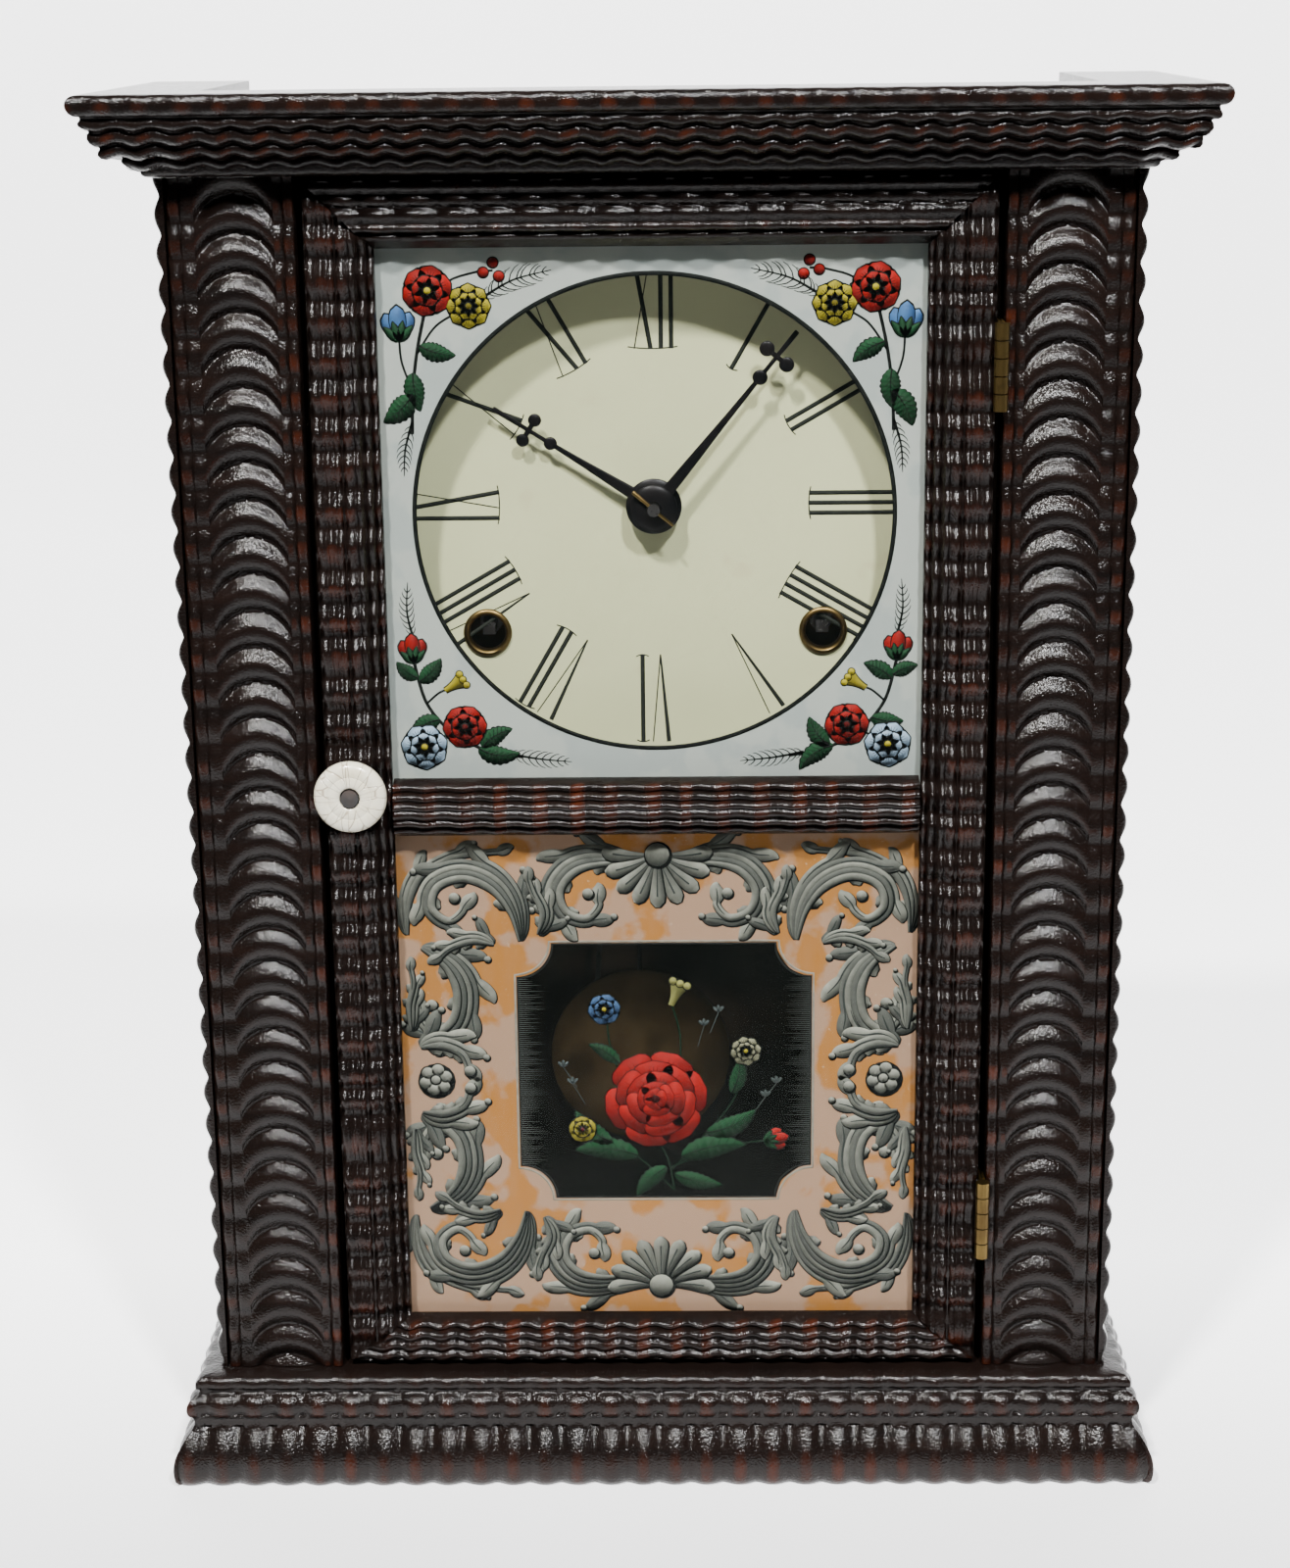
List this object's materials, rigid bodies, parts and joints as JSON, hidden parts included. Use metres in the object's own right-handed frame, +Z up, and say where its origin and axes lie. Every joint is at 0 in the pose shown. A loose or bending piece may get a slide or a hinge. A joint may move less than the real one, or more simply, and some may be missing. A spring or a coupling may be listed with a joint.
{
  "type": "cottage clock",
  "caption": "Shelf clock in a rippled wood case with a glazed hinged door, painted dial, turning hands, geared movement, swinging pendulum and a hammer over a coiled gong.",
  "frame": {"origin": "middle of the footprint, on the surface that the clock stands on", "axes": "+Z up, -Y towards the viewer of the dial, +X to the viewer's right"},
  "size_m": [0.2844, 0.1116, 0.381],
  "materials": {
    "ripple_wood": "dark shellac, glossy, with redder crests on the ripples",
    "pine": "plain, unfinished, aged",
    "brass": "aged, satin",
    "steel": "plain, slightly dulled",
    "black_steel": "blued black, satin",
    "iron": "blackened",
    "dial_paint": "cream paint on sheet zinc, eggshell",
    "glass": "clear, old, painted on the back around the openings in the looks",
    "bone": "turned bone, polished, finely cracked"
  },
  "bodies": {
    "case": {"base_front_moulding": "ripple_wood", "base_left_moulding": "ripple_wood", "base_right_moulding": "ripple_wood", "bottom_board": "pine", "left_side_board": "ripple_wood", "right_side_board": "ripple_wood", "top_board": "pine", "back_board": "pine", "cornice_front": "ripple_wood", "cornice_left": "ripple_wood", "cornice_right": "ripple_wood", "left_pilaster": "ripple_wood", "right_pilaster": "ripple_wood", "dial_plate": "dial_paint", "left_winding_grommet": "brass", "right_winding_grommet": "brass", "left_dial_block": "pine", "right_dial_block": "pine", "upper_hinge_case_leaf": "brass", "lower_hinge_case_leaf": "brass", "movement_front_plate": "brass", "movement_back_plate": "brass", "time_mainspring": "steel", "strike_mainspring": "steel", "suspension_cock": "brass", "gong": "iron"},
    "door": {"door_left_stile": "ripple_wood", "door_right_stile": "ripple_wood", "door_top_rail": "ripple_wood", "door_mid_rail": "ripple_wood", "door_bottom_rail": "ripple_wood", "upper_glass": "glass", "lower_glass": "glass", "upper_glazing_frame": "pine", "lower_glazing_frame": "pine", "upper_hinge_door_leaf": "brass", "lower_hinge_door_leaf": "brass"},
    "latch": {"door_knob": "bone", "knob_shaft": "steel", "latch_catch": "steel"},
    "minute": {"minute_hand": "black_steel", "centre_arbor": "steel", "hand_pin": "brass", "centre_wheel": "brass"},
    "hour": {"hour_hand": "black_steel", "hour_wheel": "brass"},
    "motion": {"motion_wheel": "brass"},
    "second": {"second_wheel": "brass"},
    "time_great": {"time_great_wheel": "brass"},
    "third": {"third_wheel": "brass"},
    "escape": {"escape_wheel": "brass"},
    "time_winding": {"time_winding_arbor": "steel"},
    "pendulum": {"pendulum_rod": "steel", "pendulum_bob": "brass"},
    "verge": {"verge": "steel"},
    "strike_great": {"strike_great_wheel": "brass"},
    "strike_second": {"strike_second_wheel": "brass"},
    "count": {"count_wheel": "brass"},
    "strike_winding": {"strike_winding_arbor": "steel"},
    "hammer": {"hammer": "steel"}
  },
  "joints": [
    {"name": "door_hinge", "type": "hinge", "parent": "case", "child": "door", "pos_m": [0.08895, -0.03945, 0.1935], "axis": [0, 0, 1], "range_deg": [0, 110]},
    {"name": "door_latch", "type": "hinge", "parent": "door", "child": "latch", "pos_m": [-0.081, -0.03725, 0.199], "axis": [0, 1, 0], "range_deg": [0, 90]},
    {"name": "minute_turn", "type": "hinge", "parent": "case", "child": "minute", "pos_m": [0, -0.03725, 0.2724], "axis": [0, 1, 0], "continuous": true},
    {"name": "hour_turn", "type": "hinge", "parent": "case", "child": "hour", "pos_m": [0, -0.03725, 0.2724], "axis": [0, 1, 0], "continuous": true},
    {"name": "motion_turn", "type": "hinge", "parent": "case", "child": "motion", "pos_m": [0.00849, -0.03725, 0.26391], "axis": [0, 1, 0], "continuous": true},
    {"name": "second_turn", "type": "hinge", "parent": "case", "child": "second", "pos_m": [0.02506, -0.03725, 0.25994], "axis": [0, 1, 0], "continuous": true},
    {"name": "time_great_turn", "type": "hinge", "parent": "case", "child": "time_great", "pos_m": [0.0452, -0.03725, 0.2377], "axis": [0, 1, 0], "continuous": true},
    {"name": "third_turn", "type": "hinge", "parent": "case", "child": "third", "pos_m": [0.01294, -0.03725, 0.29153], "axis": [0, 1, 0], "continuous": true},
    {"name": "escape_turn", "type": "hinge", "parent": "case", "child": "escape", "pos_m": [-0.0055, -0.03725, 0.296], "axis": [0, 1, 0], "continuous": true},
    {"name": "time_winding_turn", "type": "hinge", "parent": "case", "child": "time_winding", "pos_m": [0.0452, -0.03725, 0.2377], "axis": [0, 1, 0], "continuous": true},
    {"name": "pendulum_swing", "type": "hinge", "parent": "case", "child": "pendulum", "pos_m": [-0.0055, -0.03725, 0.3156], "axis": [0, 1, 0], "range_deg": [-2.5, 2.5]},
    {"name": "verge_rock", "type": "hinge", "parent": "case", "child": "verge", "pos_m": [-0.0055, -0.03725, 0.3156], "axis": [0, 1, 0], "range_deg": [-2.5, 2.5]},
    {"name": "strike_great_turn", "type": "hinge", "parent": "case", "child": "strike_great", "pos_m": [-0.0452, -0.03725, 0.2377], "axis": [0, 1, 0], "continuous": true},
    {"name": "strike_second_turn", "type": "hinge", "parent": "case", "child": "strike_second", "pos_m": [-0.02506, -0.03725, 0.25994], "axis": [0, 1, 0], "continuous": true},
    {"name": "count_turn", "type": "hinge", "parent": "case", "child": "count", "pos_m": [-0.02696, -0.03725, 0.28163], "axis": [0, 1, 0], "continuous": true},
    {"name": "strike_winding_turn", "type": "hinge", "parent": "case", "child": "strike_winding", "pos_m": [-0.0452, -0.03725, 0.2377], "axis": [0, 1, 0], "continuous": true},
    {"name": "hammer_lift", "type": "hinge", "parent": "case", "child": "hammer", "pos_m": [-0.012, -0.03725, 0.227], "axis": [0, 1, 0], "range_deg": [0, 8]}
  ],
  "couplings": [
    {"joint": "hour_turn", "follows": "minute_turn", "ratio": 0.083333},
    {"joint": "motion_turn", "follows": "minute_turn", "ratio": -0.33333},
    {"joint": "second_turn", "follows": "minute_turn", "ratio": -0.25},
    {"joint": "time_great_turn", "follows": "minute_turn", "ratio": 0.027778},
    {"joint": "third_turn", "follows": "minute_turn", "ratio": -10},
    {"joint": "escape_turn", "follows": "minute_turn", "ratio": 100},
    {"joint": "verge_rock", "follows": "pendulum_swing", "ratio": 1},
    {"joint": "strike_second_turn", "follows": "strike_great_turn", "ratio": -9},
    {"joint": "count_turn", "follows": "strike_great_turn", "ratio": 0.9}
  ]
}
